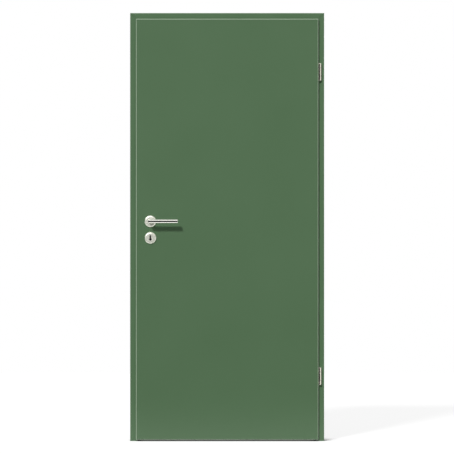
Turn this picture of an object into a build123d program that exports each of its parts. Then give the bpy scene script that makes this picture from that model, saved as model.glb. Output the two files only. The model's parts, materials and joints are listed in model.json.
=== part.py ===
from build123d import *
from math import cos, radians, tan
import os

# A flush interior door: a rebated leaf hung on the right in a folded sheet-steel
# corner frame, with a lever set, a mortise lock for a plain key and two barrel
# hinges. Millimetres. X runs across the doorway, Y from the side that the leaf
# opens to towards the stop side, Z up. The origin is on the floor, midway
# between the jambs, in the middle of the leaf's thickness.

os.makedirs("parts", exist_ok=True)

# Leaf
leaf_width = 860.0
leaf_height = 1985.0
leaf_thickness = 40.0
overlap_width = 13.0
overlap_thickness = 14.5
face_board = 3.2
front_edge_radius = 3.0
stile_width = 45.0
rail_height = 45.0
core_tube_radius = 13.0
core_tube_pitch = 31.0
core_edge_margin = 10.0
lock_block_width = 62.0
lock_block_height = 300.0

# Gaps round the closed leaf
floor_gap = 7.0
side_gap = 3.5
top_gap = 4.0
overlap_gap = 2.0
seal_space = 4.0

# Frame profile, folded from sheet
sheet = 1.5
bend_radius = 1.5
face_width = 37.5
stop_width = 15.0
reveal_depth = 46.0
rear_return = 18.0
edge_return = 14.0
edge_lip = 14.0
mitre_gap = 0.3

# Wall fixings through the reveal, spread between the floor and the head
fixing_radius = 4.5
fixing_low = 250.0
fixing_below_head = 218.0
fixing_count = 4

# Corner plates behind the face, on weld studs
bracket_inset = 9.0
bracket_width = 24.0
bracket_leg = 120.0
bracket_thickness = 2.5
bracket_corner_radius = 4.0
stud_radius = 2.5
stud_hole_clearance = 0.2
stud_length = 8.0
stud_pitch = 40.0
nut_across_flats = 8.0
nut_height = 4.0
thread_clearance = 0.05

# Seal strip on the stop
seal_inset = 2.5
seal_width = 9.0
seal_gap = 0.3
seal_radius = 2.5
seal_wall = 1.0

# Hinges
hinge_from_rebate_top = 241.0
hinge_from_leaf_bottom = 300.0
hinge_offset = 6.0
knuckle_radius = 7.75
leaf_knuckle_height = 18.0
frame_knuckle_height = 39.0
hinge_washer = 1.0
hinge_running_gap = 0.1
hinge_pin_radius = 4.0
pin_clearance = 0.06
cap_height = 2.2
cap_edge_radius = 1.2
cap_stub_radius = 2.0
cap_stub_length = 6.0
scallop_clearance = 0.5
leaf_shank_radius = 3.5
leaf_shank_length = 42.0
frame_shank_radius = 4.0
frame_shank_spread = 22.0
shank_clearance = 0.05
receiver_width = 21.5
receiver_depth = 20.0
receiver_height = 50.0
receiver_back_wall = 2.0
receiver_edge_room = 0.4
shank_end_room = 0.5
clamp_screw_radius = 3.0
clamp_screw_depth = 11.0
clamp_hole_clearance = 0.8

# Lock
backset = 55.0
lever_height = 1037.0
key_spacing = 78.0
forend_thickness = 3.0
forend_width = 20.0
forend_length = 235.0
forend_screw_share = 0.6
forend_screw_radius = 2.0
forend_screw_length = 26.0
lock_pocket_clearance = 0.5
case_depth = 85.0
case_above_lever = 48.0
case_below_key = 45.0
case_thickness = 15.0
case_wall = 1.2
case_post_radius = 3.5
case_post_inset = 7.0
cover_screw_radius = 1.5
cover_screw_length = 8.0
countersink_rise = 1.5
moving_clearance = 0.3

# Latch and the follower that draws it
latch_throw = 12.5
latch_height = 32.0
latch_width = 11.0
latch_nose = 3.0
latch_body = 22.0
latch_above_lever = 20.0
latch_tail_thickness = 4.0
latch_tail_height = 8.0
latch_tail_above_lever = 31.0
latch_hook_length = 6.0
latch_hook_low = 13.0
follower_radius = 13.0
follower_thickness = 9.0
follower_hub_radius = 9.0
follower_arm_reach = 24.0
follower_arm_width = 6.0
follower_arm_thickness = 5.0
follower_lean = 20.0
follower_gap = 0.6
latch_spring_sheet = 0.8
latch_spring_width = 6.0
latch_spring_rise = 12.0

# Dead bolt
bolt_throw = 14.0
bolt_height = 36.0
bolt_width = 9.0
bolt_body = 28.0
bolt_recess = 0.5
bolt_above_key = 20.0
bolt_tail_length = 48.0
bolt_tail_height = 14.0
bolt_tail_thickness = 3.0
bolt_notch_width = 10.0
bolt_notch_depth = 5.0
bolt_stud_radius = 2.0
bolt_stud_setback = 14.0
bolt_spring_sheet = 0.6
bolt_spring_width = 6.0
bolt_spring_span = 36.0
bolt_spring_drop = 8.0

# Strike openings in the lock jamb
strike_clearance = 1.5
strike_box_depth = 20.0
strike_box_margin = 5.0
strike_box_wall = 1.2
strike_box_room = 0.1

# Roses, spindle and levers
rose_radius = 27.5
rose_flat_radius = 19.5
rose_height = 8.5
rose_edge = 3.5
rose_wall = 1.2
rose_fit = 0.3
rose_base_space = 2.3
rose_base_room = 1.3
rose_screw_spread = 38.0
rose_screw_radius = 2.0
rose_screw_hole_radius = 3.4
rose_screw_head_radius = 3.5
rose_screw_head = 2.5
rose_screw_bite = 4.0
collar_radius = 13.5
collar_height = 10.5
journal_clearance = 0.08
lever_bore_radius = 12.0
lever_radius = 9.0
lever_length = 130.0
lever_projection = 47.0
lever_end_radius = 1.2
lever_seat_gap = 1.0
spindle_size = 8.0
spindle_reach = 24.0
spindle_clearance = 0.1
grub_radius = 3.0
grub_from_leaf = 16.0
grub_sink = 0.6

# Keyhole, larger at the foot
keyhole_top_radius = 4.3
keyhole_foot_radius = 5.8
keyhole_height = 25.0
keyhole_waist = 6.6
key_slot_width = 14.0
key_slot_length = 28.0

# One overrun for every through cut
overrun = 5.0

# Derived planes and edges
leaf_front = -leaf_thickness / 2
leaf_back = leaf_thickness / 2
front_board_back = leaf_front + face_board
rear_board_front = leaf_back - face_board
overlap_back = leaf_front + overlap_thickness
face_front = overlap_back + overlap_gap
face_back = face_front + sheet
stop_front = leaf_back + seal_space
frame_back = stop_front + reveal_depth
lip_back = face_front + edge_return
leaf_half = leaf_width / 2
rebated_half = leaf_half - overlap_width
rebate_half = rebated_half + side_gap
clear_half = rebate_half - stop_width
frame_half = rebate_half + face_width
leaf_bottom = floor_gap
leaf_top = leaf_bottom + leaf_height
rebated_top = leaf_top - overlap_width
rebate_top = rebated_top + top_gap
clear_top = rebate_top - stop_width
frame_top = rebate_top + face_width
core_half = rebated_half - stile_width
core_bottom = leaf_bottom + rail_height
core_top = rebated_top - rail_height
fixing_y = (stop_front + frame_back) / 2
fixing_pitch = (clear_top - fixing_below_head - fixing_low) / (fixing_count - 1)
fixing_heights = [fixing_low + n * fixing_pitch for n in range(fixing_count)]
stud_along = bracket_leg / 2

hinge_x = leaf_half + hinge_offset
hinge_y = (leaf_front + overlap_back) / 2
hinge_heights = {"upper": rebate_top - hinge_from_rebate_top}
hinge_heights["lower"] = leaf_bottom + hinge_from_leaf_bottom
pin_bore_radius = hinge_pin_radius + pin_clearance
frame_knuckle_half = frame_knuckle_height / 2
leaf_knuckle_low = frame_knuckle_half + hinge_washer + hinge_running_gap
leaf_knuckle_high = leaf_knuckle_low + leaf_knuckle_height
cap_low = leaf_knuckle_high + hinge_running_gap
hinge_half = cap_low + cap_height
receiver_left = rebate_half + sheet
receiver_bore_end = face_back + receiver_depth - receiver_back_wall
clamp_y = face_back + clamp_screw_depth
shank_offsets = (-frame_shank_spread / 2, frame_shank_spread / 2)

lock_y = (overlap_back + leaf_back) / 2
lock_edge = -rebated_half
fitting_x = lock_edge + backset
lever_z = lever_height
key_z = lever_z - key_spacing
lock_z = (lever_z + key_z) / 2
case_left = lock_edge + forend_thickness
case_right = case_left + case_depth
case_low = key_z - case_below_key
case_high = lever_z + case_above_lever
case_front = lock_y - case_thickness / 2
case_back = lock_y + case_thickness / 2
cover_front = case_back - case_wall
post_places = [
    (case_right - case_post_inset, case_high - case_post_inset),
    (case_right - case_post_inset, case_low + case_post_inset),
    (case_left + case_post_inset, case_low + case_post_inset),
]
latch_z = lever_z + latch_above_lever
bolt_z = key_z + bolt_above_key
bolt_tail_z = key_z + keyhole_height / 2 + bolt_tail_height / 2 + strike_clearance
bolt_left = lock_edge + bolt_recess
bolt_stud_x = bolt_left + bolt_body + bolt_stud_setback
rose_screw_offsets = (-rose_screw_spread / 2, rose_screw_spread / 2)
rose_screw_places = [(fitting_x + dx, z) for z in (lever_z, key_z) for dx in rose_screw_offsets]
spindle_end = leaf_thickness / 2 + spindle_reach
rose_base_height = rose_height - rose_wall - rose_base_space
head_back = leaf_back + rose_base_height
bolt_spring_x = bolt_left + bolt_body + bolt_tail_length / 2


# Bars and cones stand on the point that they are placed at
on_base = (Align.CENTER, Align.CENTER, Align.MIN)


def block(low, high, mode=Mode.ADD):
    """Box between two opposite corners."""
    low, high = Vector(low), Vector(high)
    size = high - low
    with Locations((low + high) / 2):
        Box(size.X, size.Y, size.Z, mode=mode)


def rod(start, end, radius, mode=Mode.ADD):
    """Round bar between two points."""
    run = Vector(end) - Vector(start)
    with Locations(Plane(origin=start, z_dir=run)):
        Cylinder(radius, run.length, align=on_base, mode=mode)


def countersunk(head, tip, radius, rise, grow=0, mode=Mode.ADD):
    """Countersunk screw from its head's face to its tip; grow widens it into a hole."""
    run = Vector(tip) - Vector(head)
    with Locations(Plane(origin=head, z_dir=run)):
        Cone(radius + rise + grow, radius + grow, rise, align=on_base, mode=mode)
    rod(head, tip, radius + grow, mode)


def write(piece, name):
    """Label a finished piece and write its STEP file."""
    piece.part.label = name
    export_step(piece.part, f"parts/{name}.step")


# Frame: three lengths of one folded profile

def profile(plane, length):
    """Frame profile; the plane's X points out of the doorway and its Y to the stop side."""
    outer_bend = bend_radius + sheet
    with BuildSketch(plane) as section:
        with BuildLine():
            FilletPolyline(
                (rear_return, frame_back),
                (0, frame_back),
                (0, stop_front),
                (stop_width, stop_front),
                (stop_width, face_front),
                (stop_width + face_width, face_front),
                (stop_width + face_width, lip_back),
                (stop_width + face_width - edge_lip, lip_back),
                radius=(outer_bend, outer_bend, bend_radius, outer_bend, outer_bend, outer_bend),
            )
            offset(amount=sheet, side=Side.LEFT)
        make_face()
    extrude(section.sketch, amount=length)


def mitre(side, towards_head):
    """Plane of a top corner's mitre; its normal points to the piece that is kept."""
    sign = 1 if towards_head else -1
    corner = Plane(origin=(side * clear_half, 0, clear_top), z_dir=(-side * sign, 0, sign))
    return corner.offset(mitre_gap / 2)


def fixing_holes(side):
    for z in fixing_heights:
        inner = (side * (clear_half - overrun), fixing_y, z)
        outer = (side * (clear_half + sheet + overrun), fixing_y, z)
        rod(inner, outer, fixing_radius, Mode.SUBTRACT)


def jamb_studs(side):
    """Weld studs for the corner plate, on the back of the jamb's face."""
    x = side * (frame_half - bracket_inset - bracket_width / 2)
    for n in range(2):
        z = frame_top - bracket_inset - stud_along - n * stud_pitch
        rod((x, face_front + sheet / 2, z), (x, face_back + stud_length, z), stud_radius)


def head_studs(side):
    z = frame_top - bracket_inset - bracket_width / 2
    for n in range(2):
        x = side * (frame_half - bracket_inset - stud_along - n * stud_pitch)
        rod((x, face_front + sheet / 2, z), (x, face_back + stud_length, z), stud_radius)


def hole_span(centre, size):
    """Lowest and highest edge of a strike hole along one axis."""
    half = size / 2 + strike_clearance
    return centre - half, centre + half


latch_hole_y = hole_span(lock_y, latch_width)
bolt_hole_y = hole_span(lock_y, bolt_width)
latch_hole_z = hole_span(latch_z, latch_height)
bolt_hole_z = hole_span(bolt_z, bolt_height)

with BuildPart() as lock_jamb:
    profile(Plane(origin=(-clear_half, 0, frame_top), x_dir=(-1, 0, 0), z_dir=(0, 0, -1)), frame_top)
    split(bisect_by=mitre(-1, towards_head=False), keep=Keep.TOP)
    fixing_holes(-1)
    jamb_studs(-1)
    for hole_y, hole_z in ((latch_hole_y, latch_hole_z), (bolt_hole_y, bolt_hole_z)):
        block(
            (-rebate_half - sheet - overrun, hole_y[0], hole_z[0]),
            (-rebate_half + overrun, hole_y[1], hole_z[1]),
            Mode.SUBTRACT,
        )
write(lock_jamb, "lock_jamb")

with BuildPart() as hinge_jamb:
    profile(Plane(origin=(clear_half, 0, 0), x_dir=(1, 0, 0), z_dir=(0, 0, 1)), frame_top)
    split(bisect_by=mitre(1, towards_head=False), keep=Keep.TOP)
    fixing_holes(1)
    jamb_studs(1)
    for hinge_z in hinge_heights.values():
        for dz in shank_offsets:
            shank_z = hinge_z + dz
            rod(
                (hinge_x, face_front - overrun, shank_z),
                (hinge_x, face_back + sheet, shank_z),
                frame_shank_radius + shank_clearance,
                Mode.SUBTRACT,
            )
            rod(
                (rebate_half - sheet, clamp_y, shank_z),
                (rebate_half + sheet + sheet, clamp_y, shank_z),
                clamp_screw_radius + clamp_hole_clearance,
                Mode.SUBTRACT,
            )
write(hinge_jamb, "hinge_jamb")

with BuildPart() as frame_head:
    profile(Plane(origin=(frame_half, 0, clear_top), x_dir=(0, 0, 1), z_dir=(-1, 0, 0)), 2 * frame_half)
    split(bisect_by=mitre(1, towards_head=True), keep=Keep.TOP)
    split(bisect_by=mitre(-1, towards_head=True), keep=Keep.TOP)
    head_studs(1)
    head_studs(-1)
write(frame_head, "frame_head")

# Corner plates and their nuts

bracket_stud_places = []
for n in range(2):
    along = bracket_inset + stud_along + n * stud_pitch
    across = bracket_inset + bracket_width / 2
    bracket_stud_places.append((frame_half - across, frame_top - along))
    bracket_stud_places.append((frame_half - along, frame_top - across))

with BuildPart() as hinge_corner_bracket:
    with BuildSketch(Plane.XZ.offset(-face_back)):
        with BuildLine():
            outer_x = frame_half - bracket_inset
            outer_z = frame_top - bracket_inset
            Polyline(
                (outer_x, outer_z),
                (outer_x, outer_z - bracket_leg),
                (outer_x - bracket_width, outer_z - bracket_leg),
                (outer_x - bracket_width, outer_z - bracket_width),
                (outer_x - bracket_leg, outer_z - bracket_width),
                (outer_x - bracket_leg, outer_z),
                close=True,
            )
        make_face()
        with Locations(*bracket_stud_places):
            Circle(stud_radius + stud_hole_clearance, mode=Mode.SUBTRACT)
    extrude(amount=-bracket_thickness)
    fillet(hinge_corner_bracket.edges().filter_by(Axis.Y).filter_by(GeomType.LINE), bracket_corner_radius)
write(hinge_corner_bracket, "hinge_corner_bracket")

with BuildPart() as lock_corner_bracket:
    mirror(hinge_corner_bracket.part, about=Plane.YZ)
write(lock_corner_bracket, "lock_corner_bracket")

with BuildPart() as corner_nuts:
    with BuildSketch(Plane.XZ.offset(-face_back - bracket_thickness)):
        for side in (-1, 1):
            for x, z in bracket_stud_places:
                with Locations((side * x, z)):
                    RegularPolygon(nut_across_flats / 2, 6, major_radius=False)
                    Circle(stud_radius + thread_clearance, mode=Mode.SUBTRACT)
    extrude(amount=-nut_height)
write(corner_nuts, "corner_nuts")

# Seal strip: one length up the lock side, across the head and down the hinge side

with BuildPart() as frame_seal:
    seal_middle = seal_inset + seal_width / 2
    seal_height = seal_space - seal_gap
    with BuildLine() as seal_route:
        Polyline(
            (-clear_half - seal_middle, stop_front, 0),
            (-clear_half - seal_middle, stop_front, clear_top + seal_middle),
            (clear_half + seal_middle, stop_front, clear_top + seal_middle),
            (clear_half + seal_middle, stop_front, 0),
        )
    with BuildSketch(Plane.XY) as seal_section:
        with Locations((-clear_half - seal_middle, stop_front - seal_height / 2)):
            Rectangle(seal_width, seal_height)
        leaf_side = seal_section.vertices().group_by(Axis.Y)[0]
        fillet(leaf_side, seal_radius)
        with Locations((-clear_half - seal_middle, stop_front - seal_height / 2)):
            hollow_height = seal_height - 2 * seal_wall
            SlotOverall(seal_width - 2 * seal_wall - seal_radius, hollow_height, mode=Mode.SUBTRACT)
    sweep(path=seal_route.wire(), transition=Transition.RIGHT)
write(frame_seal, "frame_seal")

# Strike box behind the latch and bolt holes

with BuildPart() as strike_box:
    box_left = -rebate_half - sheet - strike_box_depth
    box_right = -rebate_half - sheet
    box_front = face_back + bend_radius + strike_box_room
    box_back = latch_hole_y[1] + strike_box_margin
    box_low = bolt_hole_z[0] - strike_box_margin
    box_high = latch_hole_z[1] + strike_box_margin
    block((box_left, box_front, box_low), (box_right, box_back, box_high))
    block(
        (box_left + strike_box_wall, box_front + strike_box_wall, box_low + strike_box_wall),
        (box_right + overrun, box_back - strike_box_wall, box_high - strike_box_wall),
        Mode.SUBTRACT,
    )
write(strike_box, "strike_box")

# Hinges

def knuckle(low, high, bore_radius):
    rod((hinge_x, hinge_y, low), (hinge_x, hinge_y, high), knuckle_radius)
    rod((hinge_x, hinge_y, low - overrun), (hinge_x, hinge_y, high + overrun), bore_radius, Mode.SUBTRACT)


for place, hinge_z in hinge_heights.items():
    with BuildPart() as receiver:
        block(
            (receiver_left, face_back, hinge_z - receiver_height / 2),
            (receiver_left + receiver_width, face_back + receiver_depth, hinge_z + receiver_height / 2),
        )
        bend_edge = receiver.edges().filter_by(Axis.Z).sort_by(Axis.X)[:2].sort_by(Axis.Y)[0]
        fillet(bend_edge, bend_radius + receiver_edge_room)
        for dz in shank_offsets:
            shank_z = hinge_z + dz
            rod(
                (hinge_x, face_back - overrun, shank_z),
                (hinge_x, receiver_bore_end, shank_z),
                frame_shank_radius + shank_clearance,
                Mode.SUBTRACT,
            )
            rod(
                (receiver_left - overrun, clamp_y, shank_z),
                (hinge_x, clamp_y, shank_z),
                clamp_screw_radius + thread_clearance,
                Mode.SUBTRACT,
            )
    write(receiver, f"{place}_hinge_receiver")

    with BuildPart() as frame_knuckle:
        for dz in shank_offsets:
            shank_z = hinge_z + dz
            rod(
                (hinge_x, hinge_y, shank_z),
                (hinge_x, receiver_bore_end - shank_end_room, shank_z),
                frame_shank_radius,
            )
        knuckle(hinge_z - frame_knuckle_half, hinge_z + frame_knuckle_half, pin_bore_radius)
    write(frame_knuckle, f"{place}_frame_knuckle")

    with BuildPart() as leaf_knuckles:
        for way in (-1, 1):
            low, high = sorted((hinge_z + way * leaf_knuckle_low, hinge_z + way * leaf_knuckle_high))
            shank_z = (low + high) / 2
            rod(
                (hinge_x, hinge_y, shank_z),
                (leaf_half - leaf_shank_length, hinge_y, shank_z),
                leaf_shank_radius,
            )
            knuckle(low, high, pin_bore_radius)
    write(leaf_knuckles, f"{place}_leaf_knuckles")

    with BuildPart() as hinge_pin:
        rod((hinge_x, hinge_y, hinge_z - cap_low), (hinge_x, hinge_y, hinge_z + cap_low), hinge_pin_radius)
        rod((hinge_x, hinge_y, hinge_z + cap_low), (hinge_x, hinge_y, hinge_z + hinge_half), knuckle_radius)
        fillet(hinge_pin.faces().sort_by(Axis.Z)[-1].edges(), cap_edge_radius)
        rod(
            (hinge_x, hinge_y, hinge_z - cap_low - overrun),
            (hinge_x, hinge_y, hinge_z - cap_low + cap_stub_length),
            cap_stub_radius + thread_clearance,
            Mode.SUBTRACT,
        )
    write(hinge_pin, f"{place}_hinge_pin")

with BuildPart() as hinge_end_caps:
    for hinge_z in hinge_heights.values():
        rod((hinge_x, hinge_y, hinge_z - hinge_half), (hinge_x, hinge_y, hinge_z - cap_low), knuckle_radius)
        rod(
            (hinge_x, hinge_y, hinge_z - cap_low),
            (hinge_x, hinge_y, hinge_z - cap_low + cap_stub_length),
            cap_stub_radius,
        )
    for solid in hinge_end_caps.solids():
        fillet(solid.faces().sort_by(Axis.Z)[0].edges(), cap_edge_radius)
write(hinge_end_caps, "hinge_end_caps")

with BuildPart() as hinge_washers:
    for hinge_z in hinge_heights.values():
        upper_face = hinge_z + frame_knuckle_half
        lower_face = hinge_z - frame_knuckle_half
        knuckle(upper_face, upper_face + hinge_washer, pin_bore_radius)
        knuckle(lower_face - hinge_washer, lower_face, pin_bore_radius)
write(hinge_washers, "hinge_washers")

with BuildPart() as receiver_clamp_screws:
    for hinge_z in hinge_heights.values():
        for dz in shank_offsets:
            rod(
                (receiver_left, clamp_y, hinge_z + dz),
                (hinge_x - frame_shank_radius - shank_clearance, clamp_y, hinge_z + dz),
                clamp_screw_radius,
            )
write(receiver_clamp_screws, "receiver_clamp_screws")

# Leaf: face boards on a rebated timber framing

def fitting_holes():
    """Bore for the lever, slot for the key and holes for the rose screws, through the leaf."""
    with BuildSketch(Plane.XZ.offset(leaf_thickness / 2 + overrun)) as holes:
        with Locations((fitting_x, lever_z)):
            Circle(lever_bore_radius)
        with Locations((fitting_x, key_z)):
            SlotOverall(key_slot_length, key_slot_width, rotation=90)
        with Locations(*rose_screw_places):
            Circle(rose_screw_hole_radius)
    extrude(holes.sketch, amount=-(leaf_thickness + 2 * overrun), mode=Mode.SUBTRACT)


def hinge_scallops():
    """Shallow hollows in the leaf's edge that the hinge barrels turn in."""
    for hinge_z in hinge_heights.values():
        rod(
            (hinge_x, hinge_y, hinge_z - hinge_half - scallop_clearance),
            (hinge_x, hinge_y, hinge_z + hinge_half + scallop_clearance),
            knuckle_radius + scallop_clearance,
            Mode.SUBTRACT,
        )


def lock_mortise():
    """Pocket for the lock case and its forend, cut in from the leaf's edge."""
    room = lock_pocket_clearance
    block(
        (lock_edge - overrun, case_front - room, case_low - room),
        (case_right + room, case_back + room, case_high + room),
        Mode.SUBTRACT,
    )
    with BuildSketch(Plane.YZ.offset(lock_edge)) as forend_seat:
        with Locations((lock_y, lock_z)):
            SlotOverall(forend_length + room, forend_width + room, rotation=90)
    extrude(forend_seat.sketch, amount=forend_thickness, mode=Mode.SUBTRACT)


# The forend's screws sit in its two ends, past the case
forend_low = lock_z - forend_length / 2
forend_high = lock_z + forend_length / 2
forend_screw_places = [
    case_low + forend_screw_share * (forend_low - case_low),
    case_high + forend_screw_share * (forend_high - case_high),
]


def stile(side):
    """Rebated stile on one side, the full height of the leaf."""
    with BuildSketch(Plane.XY.offset(leaf_bottom)) as section:
        with BuildLine():
            Polyline(
                (side * core_half, front_board_back),
                (side * leaf_half, front_board_back),
                (side * leaf_half, overlap_back),
                (side * rebated_half, overlap_back),
                (side * rebated_half, rear_board_front),
                (side * core_half, rear_board_front),
                close=True,
            )
        make_face()
    extrude(section.sketch, amount=leaf_height)
    top_rebate()


def top_rebate():
    block(
        (-leaf_half - overrun, overlap_back, rebated_top),
        (leaf_half + overrun, leaf_back, leaf_top + overrun),
        Mode.SUBTRACT,
    )


with BuildPart() as front_board:
    block((-leaf_half, leaf_front, leaf_bottom), (leaf_half, front_board_back, leaf_top))
    fillet(front_board.faces().sort_by(Axis.Y)[0].edges(), front_edge_radius)
    fitting_holes()
    hinge_scallops()
write(front_board, "front_board")

with BuildPart() as rear_board:
    block((-rebated_half, rear_board_front, leaf_bottom), (rebated_half, leaf_back, rebated_top))
    fitting_holes()
    lock_mortise()
write(rear_board, "rear_board")

with BuildPart() as hinge_stile:
    stile(1)
    hinge_scallops()
    for hinge_z in hinge_heights.values():
        for way in (-1, 1):
            shank_z = hinge_z + way * (leaf_knuckle_low + leaf_knuckle_high) / 2
            rod(
                (leaf_half + overrun, hinge_y, shank_z),
                (leaf_half - leaf_shank_length, hinge_y, shank_z),
                leaf_shank_radius + shank_clearance,
                Mode.SUBTRACT,
            )
write(hinge_stile, "hinge_stile")

with BuildPart() as lock_stile:
    stile(-1)
    lock_mortise()
    fitting_holes()
    for z in forend_screw_places:
        rod(
            (lock_edge, lock_y, z),
            (lock_edge + forend_screw_length, lock_y, z),
            forend_screw_radius + thread_clearance,
            Mode.SUBTRACT,
        )
write(lock_stile, "lock_stile")

with BuildPart() as top_rail:
    block((-core_half, front_board_back, core_top), (core_half, rear_board_front, leaf_top))
    top_rebate()
write(top_rail, "top_rail")

with BuildPart() as bottom_rail:
    block((-core_half, front_board_back, leaf_bottom), (core_half, rear_board_front, core_bottom))
write(bottom_rail, "bottom_rail")

block_right = -core_half + lock_block_width
block_low = lock_z - lock_block_height / 2
block_high = lock_z + lock_block_height / 2

with BuildPart() as lock_block:
    block((-core_half, front_board_back, block_low), (block_right, rear_board_front, block_high))
    lock_mortise()
    fitting_holes()
write(lock_block, "lock_block")

with BuildPart() as tube_core:
    block((-core_half, front_board_back, core_bottom), (core_half, rear_board_front, core_top))
    tube_count = int(2 * (core_half - core_edge_margin) / core_tube_pitch)
    with BuildSketch(Plane.XY.offset(core_bottom)):
        with GridLocations(core_tube_pitch, core_tube_pitch, tube_count, 1):
            Circle(core_tube_radius)
    extrude(amount=core_top - core_bottom, mode=Mode.SUBTRACT)
    block(
        (-core_half, front_board_back, block_low),
        (block_right, rear_board_front, block_high),
        Mode.SUBTRACT,
    )
write(tube_core, "tube_core")

# Lock: forend, case and cover

with BuildPart() as lock_forend:
    with BuildSketch(Plane.YZ.offset(lock_edge)):
        with Locations((lock_y, lock_z)):
            SlotOverall(forend_length, forend_width, rotation=90)
        with Locations((lock_y, latch_z)):
            latch_window = latch_width + 2 * moving_clearance
            Rectangle(latch_window, latch_height + 2 * moving_clearance, mode=Mode.SUBTRACT)
        with Locations((lock_y, bolt_z)):
            bolt_window = bolt_width + 2 * moving_clearance
            Rectangle(bolt_window, bolt_height + 2 * moving_clearance, mode=Mode.SUBTRACT)
    extrude(amount=forend_thickness)
    for z in forend_screw_places:
        countersunk(
            (lock_edge, lock_y, z),
            (lock_edge + forend_thickness + overrun, lock_y, z),
            forend_screw_radius,
            countersink_rise,
            thread_clearance,
            Mode.SUBTRACT,
        )
write(lock_forend, "lock_forend")

with BuildPart() as forend_screws:
    for z in forend_screw_places:
        countersunk(
            (lock_edge, lock_y, z),
            (lock_edge + forend_screw_length, lock_y, z),
            forend_screw_radius,
            countersink_rise,
        )
write(forend_screws, "forend_screws")


def case_holes():
    """Holes in both cheeks of the lock for the follower, the key and the rose screws."""
    with BuildSketch(Plane.XZ.offset(-case_front + overrun)) as holes:
        with Locations((fitting_x, lever_z)):
            Circle(follower_hub_radius + journal_clearance)
        with Locations((fitting_x, key_z)):
            SlotOverall(key_slot_length, key_slot_width, rotation=90)
        with Locations(*rose_screw_places):
            Circle(rose_screw_hole_radius)
    extrude(holes.sketch, amount=-(case_thickness + 2 * overrun), mode=Mode.SUBTRACT)


bolt_tail_top = bolt_tail_z + bolt_tail_height / 2
spring_lug_low = bolt_tail_top + moving_clearance + bolt_spring_drop

with BuildPart() as lock_case:
    block((case_left, case_front, case_low), (case_right, cover_front, case_high))
    block(
        (case_left - overrun, case_front + case_wall, case_low + case_wall),
        (case_right - case_wall, case_back + overrun, case_high - case_wall),
        Mode.SUBTRACT,
    )
    for x, z in post_places:
        rod((x, case_front + case_wall / 2, z), (x, cover_front, z), case_post_radius)
    # Lug that carries the bolt spring
    block(
        (bolt_spring_x - bolt_spring_span / 2, case_front + case_wall / 2, spring_lug_low),
        (bolt_spring_x + bolt_spring_span / 2, cover_front, spring_lug_low + case_wall),
    )
    # Stud that guides the dead bolt's tail
    rod(
        (bolt_stud_x, case_front + case_wall / 2, bolt_tail_z),
        (bolt_stud_x, cover_front, bolt_tail_z),
        bolt_stud_radius,
    )
    case_holes()
    for x, z in post_places:
        rod(
            (x, cover_front - cover_screw_length, z),
            (x, cover_front + overrun, z),
            cover_screw_radius + thread_clearance,
            Mode.SUBTRACT,
        )
write(lock_case, "lock_case")

with BuildPart() as lock_cover:
    block((case_left, cover_front, case_low), (case_right, case_back, case_high))
    case_holes()
    for x, z in post_places:
        countersunk(
            (x, case_back, z),
            (x, cover_front - overrun, z),
            cover_screw_radius,
            case_wall,
            thread_clearance,
            Mode.SUBTRACT,
        )
write(lock_cover, "lock_cover")

with BuildPart() as cover_screws:
    for x, z in post_places:
        countersunk(
            (x, case_back, z),
            (x, cover_front - cover_screw_length, z),
            cover_screw_radius,
            case_wall,
        )
write(cover_screws, "cover_screws")

# Follower, latch and latch spring. The follower's arm leans back at rest, so that
# its push on the latch hook stays nearly even over the lever's travel.

lean = radians(follower_lean)
arm_half = follower_arm_width / 2
hook_left = fitting_x - latch_hook_low * tan(lean) + arm_half / cos(lean) + follower_gap
hook_right = hook_left + latch_hook_length
tail_low = lever_z + latch_tail_above_lever - latch_tail_height / 2
tail_high = tail_low + latch_tail_height

with BuildPart() as follower:
    with BuildSketch(Plane.XZ.offset(-lock_y)):
        with Locations((fitting_x, lever_z)):
            Circle(follower_radius)
    extrude(amount=follower_thickness / 2, both=True)
    with BuildSketch(Plane.XZ.offset(-lock_y)):
        with Locations(Location((fitting_x, lever_z, 0), follower_lean)):
            with Locations((0, follower_arm_reach / 2)):
                Rectangle(follower_arm_width, follower_arm_reach)
    extrude(amount=follower_arm_thickness / 2, both=True)
    rod((fitting_x, case_front, lever_z), (fitting_x, case_back, lever_z), follower_hub_radius)
    with BuildSketch(Plane.XZ.offset(-case_front + overrun)):
        with Locations((fitting_x, lever_z)):
            Rectangle(spindle_size + 2 * spindle_clearance, spindle_size + 2 * spindle_clearance)
    extrude(amount=-(case_thickness + 2 * overrun), mode=Mode.SUBTRACT)
write(follower, "follower")

with BuildPart() as latch_bolt:
    with BuildSketch(Plane.XY.offset(latch_z - latch_height / 2)):
        with BuildLine():
            latch_front = lock_y - latch_width / 2
            latch_rear = lock_y + latch_width / 2
            latch_tip = lock_edge - latch_throw
            Polyline(
                (lock_edge + latch_body, latch_front),
                (latch_tip, latch_front),
                (latch_tip, latch_front + latch_nose),
                (lock_edge, latch_rear),
                (lock_edge + latch_body, latch_rear),
                close=True,
            )
        make_face()
    extrude(amount=latch_height)
    tail_front = lock_y - latch_tail_thickness / 2
    tail_rear = lock_y + latch_tail_thickness / 2
    block(
        (lock_edge + latch_body - latch_nose, tail_front, tail_low),
        (hook_right, tail_rear, tail_high),
    )
    block((hook_left, tail_front, lever_z + latch_hook_low), (hook_right, tail_rear, tail_high))
write(latch_bolt, "latch_bolt")

with BuildPart() as latch_spring:
    with BuildSketch(Plane.XZ.offset(-lock_y)):
        with BuildLine():
            spring_wall = case_right - case_wall
            spring_foot = (hook_right + moving_clearance, lever_z + latch_hook_low)
            Polyline(
                spring_foot,
                (hook_right + moving_clearance, lever_z + latch_hook_low + latch_hook_length),
                (spring_wall - moving_clearance - latch_spring_sheet, tail_low),
                (spring_wall - moving_clearance - latch_spring_sheet, tail_low + latch_spring_rise),
            )
            offset(amount=latch_spring_sheet, side=Side.RIGHT)
        make_face()
    extrude(amount=latch_spring_width / 2, both=True)
write(latch_spring, "latch_spring")

# Dead bolt and its spring

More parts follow.
